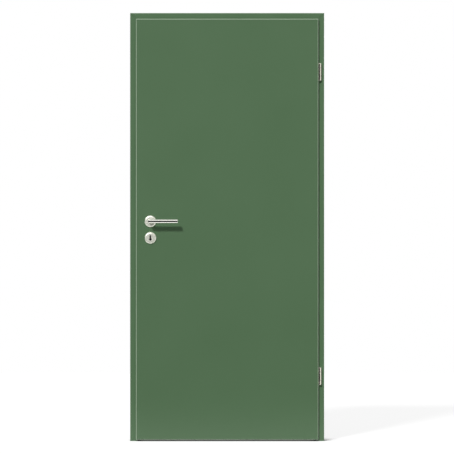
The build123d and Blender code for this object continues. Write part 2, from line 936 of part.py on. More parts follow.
with BuildPart() as dead_bolt:
    block(
        (bolt_left, lock_y - bolt_width / 2, bolt_z - bolt_height / 2),
        (bolt_left + bolt_body, lock_y + bolt_width / 2, bolt_z + bolt_height / 2),
    )
    tail_end = bolt_left + bolt_body + bolt_tail_length
    tail_half = bolt_tail_thickness / 2
    bolt_tail_low = bolt_tail_z - bolt_tail_height / 2
    block(
        (bolt_left + bolt_body - overrun, lock_y - tail_half, bolt_tail_low),
        (tail_end, lock_y + tail_half, bolt_tail_top),
    )
    with BuildSketch(Plane.XZ.offset(-lock_y)):
        slot_length = bolt_throw + 2 * (bolt_stud_radius + moving_clearance)
        with Locations((bolt_stud_x + bolt_throw / 2, bolt_tail_z)):
            SlotOverall(slot_length, 2 * (bolt_stud_radius + moving_clearance))
        with Locations((tail_end - bolt_notch_width, bolt_tail_low)):
            Rectangle(bolt_notch_width, 2 * bolt_notch_depth)
    extrude(amount=bolt_width, both=True, mode=Mode.SUBTRACT)
write(dead_bolt, "dead_bolt")

with BuildPart() as bolt_spring:
    with BuildSketch(Plane.XZ.offset(-lock_y)):
        with BuildLine():
            half_span = bolt_spring_span / 2 - bolt_spring_sheet
            spring_high = spring_lug_low - bolt_spring_sheet
            Polyline(
                (bolt_spring_x - half_span, spring_high),
                (bolt_spring_x, bolt_tail_top + moving_clearance),
                (bolt_spring_x + half_span, spring_high),
            )
            offset(amount=bolt_spring_sheet, side=Side.LEFT)
        make_face()
    extrude(amount=bolt_spring_width / 2, both=True)
write(bolt_spring, "bolt_spring")

# Lever set: the front half is drawn, and the rear half is its mirror image, but the rear
# key rose is blind, so the keyhole is open to the front alone


def rose_plane(centre_z):
    """Section plane of a rose: X runs out from its axis, Y away from the leaf."""
    return Plane(origin=(fitting_x, leaf_front, centre_z), x_dir=(1, 0, 0), z_dir=(0, 0, -1))


def rose_cover(centre_z, hole_radius):
    """Pressed cover, flat in the middle and rounded down to its rim."""
    plane = rose_plane(centre_z)
    inner_radius = rose_radius - rose_wall
    inner_height = rose_height - rose_wall
    with BuildSketch(plane) as section:
        with BuildLine():
            Line((hole_radius, rose_height), (rose_flat_radius, rose_height))
            TangentArc((rose_flat_radius, rose_height), (rose_radius, rose_edge), tangent=(1, 0))
            Line((rose_radius, rose_edge), (rose_radius, 0))
            Line((rose_radius, 0), (inner_radius, 0))
            Line((inner_radius, 0), (inner_radius, rose_edge))
            TangentArc((rose_flat_radius, inner_height), (inner_radius, rose_edge), tangent=(1, 0))
            Line((rose_flat_radius, inner_height), (hole_radius, inner_height))
            Line((hole_radius, inner_height), (hole_radius, rose_height))
        make_face()
    revolve(section.sketch, axis=Axis(plane.origin, (0, -1, 0)))


def rose_base(centre_z):
    """Moulded disc under the cover, with the screw holes."""
    base_radius = rose_radius - rose_wall - rose_base_room
    with BuildSketch(Plane.XZ.offset(-leaf_front)) as disc:
        with Locations((fitting_x, centre_z)):
            Circle(base_radius)
    extrude(disc.sketch, amount=rose_base_height)
    rim = faces().sort_by(Axis.Y)[0].edges()
    fillet(rim, rose_base_height - rose_edge)
    for dx in rose_screw_offsets:
        x = fitting_x + dx
        rod((x, leaf_front + overrun, centre_z), (x, leaf_front - rose_screw_bite, centre_z),
            rose_screw_radius + thread_clearance, Mode.SUBTRACT)


def keyhole_cut(grow=0):
    """Keyhole through a rose: two round lobes and a straight waist."""
    top = key_z + keyhole_height / 2 - keyhole_top_radius
    foot = key_z - keyhole_height / 2 + keyhole_foot_radius
    with BuildSketch(Plane.XZ.offset(-leaf_front - overrun)) as hole:
        with Locations((fitting_x, top)):
            Circle(keyhole_top_radius + grow)
        with Locations((fitting_x, foot)):
            Circle(keyhole_foot_radius + grow)
        with Locations((fitting_x, (top + foot) / 2)):
            Rectangle(keyhole_waist + 2 * grow, top - foot)
    extrude(hole.sketch, amount=rose_height + 2 * overrun, mode=Mode.SUBTRACT)


with BuildPart() as front_lever_rose:
    rose_cover(lever_z, collar_radius + rose_fit)

with BuildPart() as front_lever_rose_base:
    rose_base(lever_z)
    rod((fitting_x, leaf_front + overrun, lever_z), (fitting_x, leaf_front - collar_height, lever_z),
        collar_radius + thread_clearance, Mode.SUBTRACT)

with BuildPart() as front_lever_collar:
    rod((fitting_x, leaf_front, lever_z), (fitting_x, leaf_front - collar_height, lever_z), collar_radius)
    fillet(front_lever_collar.faces().sort_by(Axis.Y)[0].edges(), lever_end_radius)
    rod((fitting_x, leaf_front + overrun, lever_z),
        (fitting_x, leaf_front - collar_height - overrun, lever_z),
        lever_radius + journal_clearance, Mode.SUBTRACT)

with BuildPart() as blind_key_rose:
    rose_cover(key_z, 0)

with BuildPart() as blind_key_rose_base:
    rose_base(key_z)

with BuildPart() as front_key_rose:
    add(blind_key_rose.part)
    keyhole_cut()

with BuildPart() as front_key_rose_base:
    add(blind_key_rose_base.part)
    keyhole_cut(rose_fit)

lever_y = leaf_front - lever_projection
neck_start = leaf_front - lever_seat_gap
lever_end_x = fitting_x + lever_length
socket_half = spindle_size / 2 + spindle_clearance

with BuildPart() as front_lever:
    with BuildLine() as lever_route:
        Polyline(
            (fitting_x, neck_start, lever_z),
            (fitting_x, lever_y, lever_z),
            (lever_end_x, lever_y, lever_z),
        )
    with BuildSketch(Plane(origin=(fitting_x, neck_start, lever_z), z_dir=(0, -1, 0))):
        Circle(lever_radius)
    # The neck and the grip are one bar, cut and joined in a mitre
    sweep(path=lever_route.wire(), transition=Transition.RIGHT)
    fillet(front_lever.faces().sort_by(Axis.X)[-1].edges(), lever_end_radius)
    block(
        (fitting_x - socket_half, -spindle_end - spindle_clearance, lever_z - socket_half),
        (fitting_x + socket_half, neck_start + overrun, lever_z + socket_half),
        Mode.SUBTRACT,
    )
    grub_y = leaf_front - grub_from_leaf
    rod((fitting_x, grub_y, lever_z - lever_radius - overrun), (fitting_x, grub_y, lever_z),
        grub_radius + thread_clearance, Mode.SUBTRACT)

front_set = {
    "lever_rose": front_lever_rose,
    "lever_rose_base": front_lever_rose_base,
    "lever_collar": front_lever_collar,
    "key_rose": front_key_rose,
    "key_rose_base": front_key_rose_base,
    "lever": front_lever,
}
rear_set = front_set | {"key_rose": blind_key_rose, "key_rose_base": blind_key_rose_base}
for name, front_piece in front_set.items():
    write(front_piece, f"front_{name}")
    with BuildPart() as rear_piece:
        mirror(rear_set[name].part, about=Plane.XZ)
        if name.endswith("rose_base"):
            # Screw heads sit in the rear bases
            centre_z = lever_z if name.startswith("lever") else key_z
            for dx in rose_screw_offsets:
                x = fitting_x + dx
                rod((x, leaf_back, centre_z), (x, head_back + overrun, centre_z),
                    rose_screw_radius + thread_clearance, Mode.SUBTRACT)
                rod((x, head_back - rose_screw_head, centre_z), (x, head_back + overrun, centre_z),
                    rose_screw_head_radius + thread_clearance, Mode.SUBTRACT)
    write(rear_piece, f"rear_{name}")

for name, centre_z in {"lever": lever_z, "key": key_z}.items():
    with BuildPart() as rose_screws:
        for dx in rose_screw_offsets:
            x = fitting_x + dx
            rod((x, leaf_front - rose_screw_bite, centre_z), (x, head_back, centre_z), rose_screw_radius)
            head_front = head_back - rose_screw_head
            rod((x, head_front, centre_z), (x, head_back, centre_z), rose_screw_head_radius)
    write(rose_screws, f"{name}_rose_screws")

with BuildPart() as spindle:
    half = spindle_size / 2
    block(
        (fitting_x - half, -spindle_end, lever_z - half),
        (fitting_x + half, spindle_end, lever_z + half),
    )
write(spindle, "spindle")

with BuildPart() as lever_grub_screws:
    for way in (-1, 1):
        y = way * (leaf_thickness / 2 + grub_from_leaf)
        rod((fitting_x, y, lever_z - lever_radius + grub_sink), (fitting_x, y, lever_z - spindle_size / 2),
            grub_radius)
write(lever_grub_screws, "lever_grub_screws")
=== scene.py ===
# %% [markdown]
# An interior door, dressed for the camera. The door's solids come from its construction model: a
# rebated leaf, a folded steel frame, hinges, a lever set and a lock. Here they get their finishes,
# and the small pieces whose drive sockets and threads are too fine for the solids are modelled
# again as meshes.

# %% Load the solids
import json
from math import cos, pi, radians, sin

import bmesh
import bpy
from mathutils import Matrix, Vector


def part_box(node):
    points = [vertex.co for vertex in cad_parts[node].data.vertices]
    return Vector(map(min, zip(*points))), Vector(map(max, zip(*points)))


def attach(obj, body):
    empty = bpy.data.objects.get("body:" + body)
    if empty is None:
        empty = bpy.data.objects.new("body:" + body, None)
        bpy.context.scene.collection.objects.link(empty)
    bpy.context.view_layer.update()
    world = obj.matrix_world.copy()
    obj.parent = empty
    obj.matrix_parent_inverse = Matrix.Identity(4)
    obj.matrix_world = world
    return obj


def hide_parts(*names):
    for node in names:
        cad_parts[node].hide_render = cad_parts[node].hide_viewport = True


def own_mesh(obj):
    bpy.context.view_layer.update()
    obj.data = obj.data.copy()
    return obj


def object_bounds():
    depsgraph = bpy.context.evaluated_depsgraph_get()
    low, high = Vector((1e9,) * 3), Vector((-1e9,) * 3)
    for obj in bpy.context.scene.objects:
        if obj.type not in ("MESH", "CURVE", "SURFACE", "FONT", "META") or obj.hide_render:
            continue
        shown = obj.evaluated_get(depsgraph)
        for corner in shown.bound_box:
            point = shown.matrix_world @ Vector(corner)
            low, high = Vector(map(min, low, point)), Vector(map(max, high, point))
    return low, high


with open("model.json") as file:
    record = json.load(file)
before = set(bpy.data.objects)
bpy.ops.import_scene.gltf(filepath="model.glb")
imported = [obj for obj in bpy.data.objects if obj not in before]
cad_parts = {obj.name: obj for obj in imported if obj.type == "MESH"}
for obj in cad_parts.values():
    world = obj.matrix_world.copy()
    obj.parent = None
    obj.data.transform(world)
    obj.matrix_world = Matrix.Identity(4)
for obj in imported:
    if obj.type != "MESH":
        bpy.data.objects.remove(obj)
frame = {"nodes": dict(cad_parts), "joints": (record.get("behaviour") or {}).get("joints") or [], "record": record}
cad_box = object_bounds()
nodes = frame["nodes"]

# %% [markdown]
# Every place is read from the solids, so nothing has to be fitted by eye. The leaf's front board
# gives the leaf's face, the roses give the two axes of the lever set, and the box round all the
# solids gives the frame's outline and the floor line.

# %% Measure the door
MM = 0.001
leaf_low, leaf_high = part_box("front_board")
lever_rose_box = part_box("front_lever_rose")
key_rose_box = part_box("front_key_rose")
lever_centre = (lever_rose_box[0] + lever_rose_box[1]) / 2
key_centre = (key_rose_box[0] + key_rose_box[1]) / 2
lever_low, lever_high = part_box("front_lever")
frame_low, frame_high = cad_box
leaf_size = [round(length / MM) for length in leaf_high - leaf_low]
print("leaf board", leaf_size, "mm, lever at", round(lever_centre.z / MM), "mm")

# %% [markdown]
# Shader sums read best as plain expressions. The class below wraps one output socket. Adding or
# multiplying two of them, or one and a number, adds a Math node; any other node comes from the
# node method, which sets the node's settings first and then its sockets.


# %% A socket that does sums
class Wire:
    """One output socket of a shader tree."""

    def __init__(self, tree, socket=None):
        self.tree = tree
        self.socket = socket

    def node(self, kind, settings=None, sockets=None, output=0):
        """Add a node: settings first, then a value or a link for each socket."""
        made = self.tree.nodes.new(kind)
        for name, value in (settings or {}).items():
            setattr(made, name, value)
        for name, value in (sockets or {}).items():
            if isinstance(value, Wire):
                self.tree.links.new(value.socket, made.inputs[name])
            else:
                made.inputs[name].default_value = value
        return Wire(self.tree, made.outputs[output])

    def maths(self, operation, first, second=0.0):
        return self.node("ShaderNodeMath", {"operation": operation}, {0: first, 1: second})

    def __add__(self, other):
        return self.maths("ADD", self, other)

    def __sub__(self, other):
        return self.maths("SUBTRACT", self, other)

    def __rsub__(self, other):
        return self.maths("SUBTRACT", other, self)

    def __mul__(self, other):
        return self.maths("MULTIPLY", self, other)

    def __gt__(self, other):
        return self.maths("GREATER_THAN", self, other)

    def __abs__(self):
        return self.maths("ABSOLUTE", self)

    __radd__ = __add__
    __rmul__ = __mul__


print("operators:", [name for name in vars(Wire) if name.startswith("__")])

# %% [markdown]
# A finish needs the same few building stones each time: a place on the surface, a noise, a
# stretched place for grain, a mix of two colours, a ramp for the edge of a mask, and a bump. The
# solids sit at the origin, so the Object coordinate is the door's own frame in metres, and a noise
# scale of 700 means lumps about a millimetre and a half wide.


# %% Building stones for the finishes
def start_finish(name, constants):
    """A new material. Constants go straight onto the shader's own sockets."""
    material = bpy.data.materials.new(name)
    material.use_nodes = True
    shader = material.node_tree.nodes["Principled BSDF"]
    for socket, value in constants.items():
        shader.inputs[socket].default_value = value
    return material, shader, Wire(material.node_tree)


def feed(material, shader, **wires):
    """Link what varies over the surface; base_color feeds Base Color, and so on."""
    for name, wire in wires.items():
        socket = shader.inputs[name.replace("_", " ").title()]
        material.node_tree.links.new(wire.socket, socket)
    return material


def place_on(tree):
    return tree.node("ShaderNodeTexCoord", output="Object")


def axes_of(place):
    return [place.node("ShaderNodeSeparateXYZ", {}, {0: place}, output=axis) for axis in "XYZ"]


def stretched(place, scale):
    return place.node("ShaderNodeVectorMath", {"operation": "MULTIPLY"}, {0: place, 1: scale})


def noise(place, scale, detail=2.0):
    sockets = {"Vector": place, "Scale": scale, "Detail": detail}
    return place.node("ShaderNodeTexNoise", {}, sockets)


def rings(along, scale, detail=2.0):
    """Noise along one number only, for turning marks."""
    sockets = {"W": along, "Scale": scale, "Detail": detail}
    return along.node("ShaderNodeTexNoise", {"noise_dimensions": "1D"}, sockets)


def mix(factor, under, over):
    """Two colours, either of them plain or varying."""
    sockets = {0: factor, 6: under, 7: over}
    return factor.node("ShaderNodeMix", {"data_type": "RGBA"}, sockets, output=2)


def shade(colour, by=1.0):
    """A plain colour, darker or lighter, as a socket takes it."""
    return (*(channel * by for channel in colour), 1.0)


def bump(height, strength, depth):
    sockets = {"Height": height, "Strength": strength, "Distance": depth}
    return height.node("ShaderNodeBump", {}, sockets)


def ramp(value, start, end):
    """0 below start, 1 above end, smooth between."""
    sockets = {"Value": value, "From Min": start, "From Max": end}
    return value.node("ShaderNodeMapRange", {"interpolation_type": "SMOOTHSTEP"}, sockets)


print("building stones ready")

# %% [markdown]
# The leaf is sprayed with satin lacquer. A sprayed coat is never quite flat: it dries with a
# faint orange peel a millimetre or two wide, its gloss drifts by a few percent over a hand's
# breadth, and its colour by less. Image textures could show that, but three noises do it at any
# size. The timber edges get the same coat, with the grain below just showing through as long,
# shallow ridges along each rail or stile. The fine light line along the leaf's rounded outline is a
# painted highlight: a paler green is painted into the colour there and stands in for the glint of
# the rounded edges. A mask of the distance to that outline draws it, and the lamp then makes it
# bright at the left and the top and faint elsewhere.

# %% Green lacquer on boards and edges
GREEN = (0.078, 0.152, 0.073)
# the second green and the line's width below make a painted highlight along the leaf's rounded outline
HIGHLIGHT_GREEN = (0.3, 0.39, 0.28)
HIGHLIGHT_WIDTH = 3.0 * MM
LEAF_DRIFT, LEAF_PEEL, LEAF_SPECK = 3.0, 700.0, 2600.0
PEEL_DEPTH = 0.15 * MM
ACROSS_GRAIN, ALONG_GRAIN = 420.0, 9.0


def painted_highlight_line(place):
    """Painted highlight: 1 on the leaf's rounded outline, 0 on its face and in its rebate."""
    x, y, z = axes_of(place)
    middle = (leaf_low + leaf_high) / 2
    half = (leaf_high - leaf_low) / 2
    across = half.x - abs(x - middle.x)
    along = half.z - abs(z - middle.z)
    nearest = across.maths("MINIMUM", across, along)
    in_front = 1 - ramp(y, leaf_low.y + HIGHLIGHT_WIDTH, leaf_low.y + 2 * HIGHLIGHT_WIDTH)
    return in_front * (1 - ramp(nearest, 0.8 * HIGHLIGHT_WIDTH, 1.2 * HIGHLIGHT_WIDTH))


def lacquer(name, grain=None):
    material, shader, tree = start_finish(name, {"Specular IOR Level": 0.5})
    place = place_on(tree)
    drift = noise(place, LEAF_DRIFT, 3.0)
    peel = noise(place, LEAF_PEEL)
    speck = noise(place, LEAF_SPECK, 1.0)
    height = 0.75 * peel + 0.25 * speck
    if grain:
        ridges = noise(stretched(place, grain), 1.0, 3.0)
        height = 0.4 * height + 1.2 * ridges
    colour = mix(0.7 * drift + 0.3 * speck, shade(GREEN, 0.97), shade(GREEN, 1.03))
    # painted highlight: a paler green painted along the leaf's rounded outline
    colour = mix(painted_highlight_line(place), colour, shade(HIGHLIGHT_GREEN))
    normal = bump(height, 0.1, PEEL_DEPTH)
    return feed(material, shader, base_color=colour, roughness=0.3 + 0.1 * drift, normal=normal)


board_lacquer = lacquer("board_lacquer")
upright_lacquer = lacquer("upright_lacquer", grain=(ACROSS_GRAIN, ACROSS_GRAIN, ALONG_GRAIN))
level_lacquer = lacquer("level_lacquer", grain=(ALONG_GRAIN, ACROSS_GRAIN, ACROSS_GRAIN))
print("lacquers:", board_lacquer.name, upright_lacquer.name, level_lacquer.name)

# %% [markdown]
# The frame is folded from sheet steel and sprayed in the same green. Here its colour is a lighter
# copy of the leaf's green, a painted lightening that stands in for the light the frame's face
# catches. On steel the coat is thinner and its peel is finer than on board, so the frame has a
# finish of its own. At the top corners the head and the jambs are mitred and welded, and the
# dressed weld still shows through the paint as a fine diagonal line. Its mask is the distance from
# the mitre's plane, which is the same for both corners if X is taken without its sign.

# %% Green paint on the folded steel
MITRE_LINE = 1.2 * MM
PAINT_DRIFT, PAINT_PEEL = 4.0, 1100.0
PAINT_DEPTH = 0.1 * MM


def mitre_line(place):
    """1 on the diagonal at the top corners."""
    x, _, z = axes_of(place)
    from_mitre = abs((frame_high.x - abs(x)) - (frame_high.z - z))
    return 1 - ramp(from_mitre, 0.5 * MITRE_LINE, MITRE_LINE)


def frame_paint():
    material, shader, tree = start_finish("frame_paint", {"Specular IOR Level": 0.5})
    place = place_on(tree)
    drift = noise(place, PAINT_DRIFT, 3.0)
    peel = noise(place, PAINT_PEEL)
    weld = mitre_line(place)
    # painted light: this green is a lighter copy of the leaf's, standing in for the light on the frame's face
    colour = mix(drift, shade(GREEN, 1.03), shade(GREEN, 1.11))
    colour = mix(weld, colour, shade(GREEN, 0.5))
    normal = bump(0.3 * peel - 0.7 * weld, 0.3, PAINT_DEPTH)
    return feed(material, shader, base_color=colour, roughness=0.28 + 0.12 * drift, normal=normal)


painted_steel = frame_paint()
print("frame paint:", painted_steel.name)

# %% [markdown]
# The roses are pressed from stainless steel and brushed on a turning spindle, so their marks run
# in circles round each rose's own axis. The shader picks the nearer of the two axes by height,
# works out the distance from it and feeds that to two noises along one number, a fine one and a
# broad one. The marks change the tone, the roughness and the bump, as real brushing does.

# %% Satin roses and collars
STEEL = (0.76, 0.77, 0.68)
FINE_BRUSH, BROAD_BRUSH, ROSE_SMUDGE = 2600.0, 850.0, 60.0
BRUSH_DEPTH = 0.1 * MM


def satin_rose():
    material, shader, tree = start_finish("satin_rose", {"Metallic": 1.0})
    place = place_on(tree)
    x, _, z = axes_of(place)
    is_upper = z > (lever_centre.z + key_centre.z) / 2
    centre_z = key_centre.z + (lever_centre.z - key_centre.z) * is_upper
    across, up = x - lever_centre.x, z - centre_z
    radius = tree.maths("SQRT", across * across + up * up)
    marks = 0.5 * rings(radius, FINE_BRUSH, 3.0) + 0.5 * rings(radius, BROAD_BRUSH)
    smudge = noise(place, ROSE_SMUDGE)
    colour = mix(0.75 * marks + 0.25 * smudge, shade(STEEL, 0.8), shade(STEEL, 1.18))
    normal = bump(marks, 0.3, BRUSH_DEPTH)
    return feed(material, shader, base_color=colour, roughness=0.4 + 0.16 * marks, normal=normal)


rose_steel = satin_rose()
print("rose finish:", rose_steel.name)

# %% [markdown]
# The lever is the one mirror on the door: two lengths of round bar joined in a mitre, ground along
# their length and then polished, so they show hard bands of light and dark with only fine hairlines
# in them. The hairlines follow the bar: away from the leaf on the neck, and across it on the grip.
# They change over at the mitre's plane, where the way along the grip and the way out from the leaf
# add up to the reach of the neck. With Y taken without its sign, one sum serves both levers.

# %% Polished lever
LEVER_STEEL = (0.88, 0.87, 0.82)
ACROSS_BAR, ALONG_BAR = 2600.0, 9.0
NECK_GRAIN = (ACROSS_BAR, ALONG_BAR, ACROSS_BAR)
GRIP_GRAIN = (ALONG_BAR, ACROSS_BAR, ACROSS_BAR)
HAIRLINE_DEPTH = 0.02 * MM
LEVER_SMUDGE = 35.0


def polished_lever():
    material, shader, tree = start_finish("polished_lever", {"Metallic": 1.0})
    place = place_on(tree)
    x, y, _ = axes_of(place)
    bar_radius = (lever_high.z - lever_low.z) / 2
    neck_reach = -lever_low.y - bar_radius
    on_grip = (x - lever_centre.x) + abs(y) > neck_reach
    on_neck = noise(stretched(place, NECK_GRAIN), 1.0)
    hairlines = on_neck + (noise(stretched(place, GRIP_GRAIN), 1.0) - on_neck) * on_grip
    smudge = noise(place, LEVER_SMUDGE)
    colour = mix(hairlines, shade(LEVER_STEEL, 0.97), shade(LEVER_STEEL, 1.03))
    normal = bump(hairlines, 0.04, HAIRLINE_DEPTH)
    roughness = 0.09 + 0.05 * hairlines + 0.05 * smudge
    return feed(material, shader, base_color=colour, roughness=roughness, normal=normal)


lever_steel = polished_lever()
print("lever finish:", lever_steel.name)

# %% [markdown]
# Three plainer metals remain. The hinge barrels are turned and plated with satin nickel, which is a
# little yellow, and the lock's steel is ground along its length. One function serves both, because
# they differ only in colour, roughness and in the direction of their marks. Zinc plate, on the
# hidden brackets, dries in patches of slightly different grey, which the cells of a Voronoi
# texture give.

# %% Nickel, ground steel and zinc
NICKEL = (0.68, 0.67, 0.56)
LOCK_STEEL = (0.56, 0.56, 0.55)
ZINC = (0.52, 0.53, 0.55)
TURNED_GRAIN = (40.0, 40.0, 2400.0)
GROUND_GRAIN = (2200.0, 2200.0, 14.0)
METAL_SMUDGE = 45.0
ZINC_PATCHES, ZINC_BLOOM = 210.0, 900.0
BLOOM_DEPTH = 0.04 * MM


def marked_metal(name, colour, grain, roughness, depth):
    material, shader, tree = start_finish(name, {"Metallic": 1.0})
    place = place_on(tree)
    marks = noise(stretched(place, grain), 1.0, 3.0)
    smudge = noise(place, METAL_SMUDGE)
    mottled = mix(0.5 * marks + 0.5 * smudge, shade(colour, 0.88), shade(colour, 1.1))
    normal = bump(marks, 0.12, depth)
    uneven = roughness + 0.18 * smudge
    return feed(material, shader, base_color=mottled, roughness=uneven, normal=normal)


def cells(place, scale):
    """A plain number for each cell of a Voronoi texture."""
    sockets = {"Vector": place, "Scale": scale}
    coloured = place.node("ShaderNodeTexVoronoi", {}, sockets, output="Color")
    return coloured.node("ShaderNodeSeparateColor", {}, {"Color": coloured}, output="Red")


def zinc_plate():
    material, shader, tree = start_finish("zinc_plate", {"Metallic": 1.0})
    place = place_on(tree)
    patch = cells(place, ZINC_PATCHES)
    bloom = noise(place, ZINC_BLOOM)
    spangled = mix(0.6 * patch + 0.4 * bloom, shade(ZINC, 0.8), shade(ZINC, 1.15))
    normal = bump(bloom, 0.1, BLOOM_DEPTH)
    return feed(material, shader, base_color=spangled, roughness=0.34 + 0.2 * patch, normal=normal)


hinge_nickel = marked_metal("hinge_nickel", NICKEL, TURNED_GRAIN, roughness=0.12, depth=0.02 * MM)
ground_steel = marked_metal("ground_steel", LOCK_STEEL, GROUND_GRAIN, roughness=0.26, depth=0.04 * MM)
zinc_steel = zinc_plate()
print("metals:", hinge_nickel.name, ground_steel.name, zinc_steel.name)

# %% [markdown]
# The moulded and raw pieces are seen only from behind or with the leaf open: black nylon discs
# under the roses, the soft seal on the stop, and the pressed-chip core inside the leaf. Nylon and
# seal get a fine eroded texture. The core is a heap of flat chips, which Voronoi cells stretched
# along the board imitate, and the lock block is softwood with growth rings.

# %% Nylon, seal and raw board
NYLON = (0.035, 0.035, 0.037)
RUBBER = (0.03, 0.03, 0.03)
DARK_CHIP, PALE_CHIP = (0.3, 0.19, 0.09), (0.55, 0.4, 0.23)
DARK_WOOD, PALE_WOOD = (0.36, 0.23, 0.11), (0.66, 0.48, 0.28)
CHIP_GRAIN = (160.0, 420.0, 160.0)
GROWTH_GRAIN = (160.0, 60.0, 5.0)
PORE_GRAIN = (1500.0, 1500.0, 40.0)
CHIP_DEPTH, PORE_DEPTH = 0.2 * MM, 0.1 * MM
DUST = 30.0


def soft_black(name, colour, roughness, scale, depth):
    material, shader, tree = start_finish(name, {"Specular IOR Level": 0.4})
    place = place_on(tree)
    grain = noise(place, scale, 3.0)
    dust = noise(place, DUST, 4.0)
    mottled = mix(0.4 * grain + 0.6 * dust, shade(colour, 0.75), shade(colour, 1.35))
    normal = bump(grain, 0.25, depth)
    dusty = roughness + 0.15 * dust
    return feed(material, shader, base_color=mottled, roughness=dusty, normal=normal)


def chip_core():
    material, shader, tree = start_finish("chip_core", {"Specular IOR Level": 0.2})
    chip = cells(stretched(place_on(tree), CHIP_GRAIN), 1.0)
    colour = mix(chip, shade(DARK_CHIP), shade(PALE_CHIP))
    normal = bump(chip, 0.5, CHIP_DEPTH)
    return feed(material, shader, base_color=colour, roughness=0.7 + 0.2 * chip, normal=normal)


def softwood():
    material, shader, tree = start_finish("softwood", {"Specular IOR Level": 0.2})
    place = place_on(tree)
    growth = noise(stretched(place, GROWTH_GRAIN), 1.0, 3.0)
    pores = noise(stretched(place, PORE_GRAIN), 1.0)
    colour = mix(0.75 * growth + 0.25 * pores, shade(DARK_WOOD), shade(PALE_WOOD))
    normal = bump(pores, 0.4, PORE_DEPTH)
    return feed(material, shader, base_color=colour, roughness=0.6 + 0.2 * growth, normal=normal)


moulded_nylon = soft_black("moulded_nylon", NYLON, roughness=0.45, scale=1800.0, depth=0.05 * MM)
seal_rubber = soft_black("seal_rubber", RUBBER, roughness=0.55, scale=900.0, depth=0.08 * MM)
core_chips = chip_core()
block_wood = softwood()
print("soft and raw:", moulded_nylon.name, seal_rubber.name, core_chips.name, block_wood.name)

# %% [markdown]
# Each solid already carries a plain material named for its slot in the record. The finishes go
# onto the same slots. A few pieces differ from the rest of their slot: the boards have no grain,
# the rails lie level, the levers are polished and the lock block is softwood.

# %% Dress the solids
slot_finish = {
    "leaf_lacquer": upright_lacquer,
    "frame_paint": painted_steel,
    "satin_steel": rose_steel,
    "hinge_nickel": hinge_nickel,
    "lock_steel": ground_steel,
    "zinc_steel": zinc_steel,
    "moulded_nylon": moulded_nylon,
    "seal_rubber": seal_rubber,
    "core_board": core_chips,
}
own_finish = {
    "front_board": board_lacquer,
    "rear_board": board_lacquer,
    "top_rail": level_lacquer,
    "bottom_rail": level_lacquer,
    "front_lever": lever_steel,
    "rear_lever": lever_steel,
    "lock_block": block_wood,
}
slot_of = {part["node"]: part["material_slot"] for part in frame["record"]["subparts"]}
for name, node in nodes.items():
    node.material_slots[0].material = own_finish.get(name, slot_finish[slot_of[name]])
print("dressed", len(nodes), "solids")

# %% [markdown]
# Screws and nuts are round bodies whose section changes with the angle: a hexagon in a socket, a
# cross in a driver's recess, a ridge that climbs by one pitch a turn on a thread. A lathe whose
# radius may depend on the angle makes all of them, with no cutting of one mesh by another. Each
# outline is a list of steps along the axis, and each step has a radius or a rule for one.

# %% A lathe for fasteners
LATHE_SIDES = 48
ROWS_A_PITCH = 6
NEARLY_ZERO = 1e-6


def hexagon(across_flats):
    """Radius of a hexagon at an angle."""
    sector = pi / 3
    return lambda angle: across_flats / 2 / cos((angle % sector) - sector / 2)


def cross(length, width):
    """Radius of a driver's cross at an angle."""

    def radius(angle):
        c, s = max(abs(cos(angle)), NEARLY_ZERO), max(abs(sin(angle)), NEARLY_ZERO)
        return max(min(length / c, width / s), min(length / s, width / c)) / 2

    return radius


def inside(rule, limit):
    """The smaller of a rule's radius and a circle's."""
    return lambda angle: min(rule(angle), limit)


def thread(start, end, core, crest, pitch):
    """Steps of a thread between two places along the axis."""
    rows = round(ROWS_A_PITCH * (end - start) / pitch)

    def ridge(along):
        def radius(angle):
            turned = (along / pitch - angle / (2 * pi)) % 1
            return core + (crest - core) * (1 - abs(2 * turned - 1))

        return radius

    places = [start + (end - start) * row / rows for row in range(rows + 1)]
    return [(along, ridge(along)) for along in places]


def skin(mesh, loops, ring=False):
    """Faces from loop to loop. A ring joins its last loop to its first; a bar is capped."""
    pairs = list(zip(loops, loops[1:]))
    if ring:
        pairs.append((loops[-1], loops[0]))
    for low, high in pairs:
        for side in range(len(low)):
            after = (side + 1) % len(low)
            mesh.faces.new((low[side], low[after], high[after], high[side]))
    if not ring:
        mesh.faces.new(reversed(loops[0]))
        mesh.faces.new(loops[-1])


def turn(mesh, outline, origin, axis, ring=False):
    """Turn an outline about an axis."""
    spin = Vector(axis).to_track_quat("Z", "Y").to_matrix().to_4x4()
    placed = Matrix.Translation(origin) @ spin
    loops = []
    for along, rule in outline:
        loop = []
        for side in range(LATHE_SIDES):
            angle = 2 * pi * side / LATHE_SIDES
            radius = rule(angle) if callable(rule) else rule
            point = Vector((radius * cos(angle), radius * sin(angle), along))
            loop.append(mesh.verts.new(placed @ point))
        loops.append(loop)
    skin(mesh, loops, ring)


print("lathe sides:", LATHE_SIDES)

# %% [markdown]
# A node can hold several solids, such as the eight nuts of the corner plates. To put a modelled
# piece in each one's place, the next helper welds a copy of the node's mesh and walks from point to
# point, so that it finds each solid's own box. A second one turns the finished mesh into a piece
# that stands for its node.

# %% Find each solid of a node, and stand for it
WELD = 0.001 * MM
SHARP_FROM = radians(32)


def solids_of(name):
    """Lowest and highest corner of each separate solid in a node."""
    mesh = bmesh.new()
    mesh.from_mesh(nodes[name].data)
    bmesh.ops.remove_doubles(mesh, verts=mesh.verts, dist=WELD)
    seen, boxes = set(), []
    for first in mesh.verts:
        if first in seen:
            continue
        seen.add(first)
        pending, points = [first], []
        while pending:
            vert = pending.pop()
            points.append(vert.co.copy())
            for edge in vert.link_edges:
                other = edge.other_vert(vert)
                if other not in seen:
                    seen.add(other)
                    pending.append(other)
        low = Vector(min(p[axis] for p in points) for axis in range(3))
        high = Vector(max(p[axis] for p in points) for axis in range(3))
        boxes.append((low, high))
    mesh.free()
    return boxes


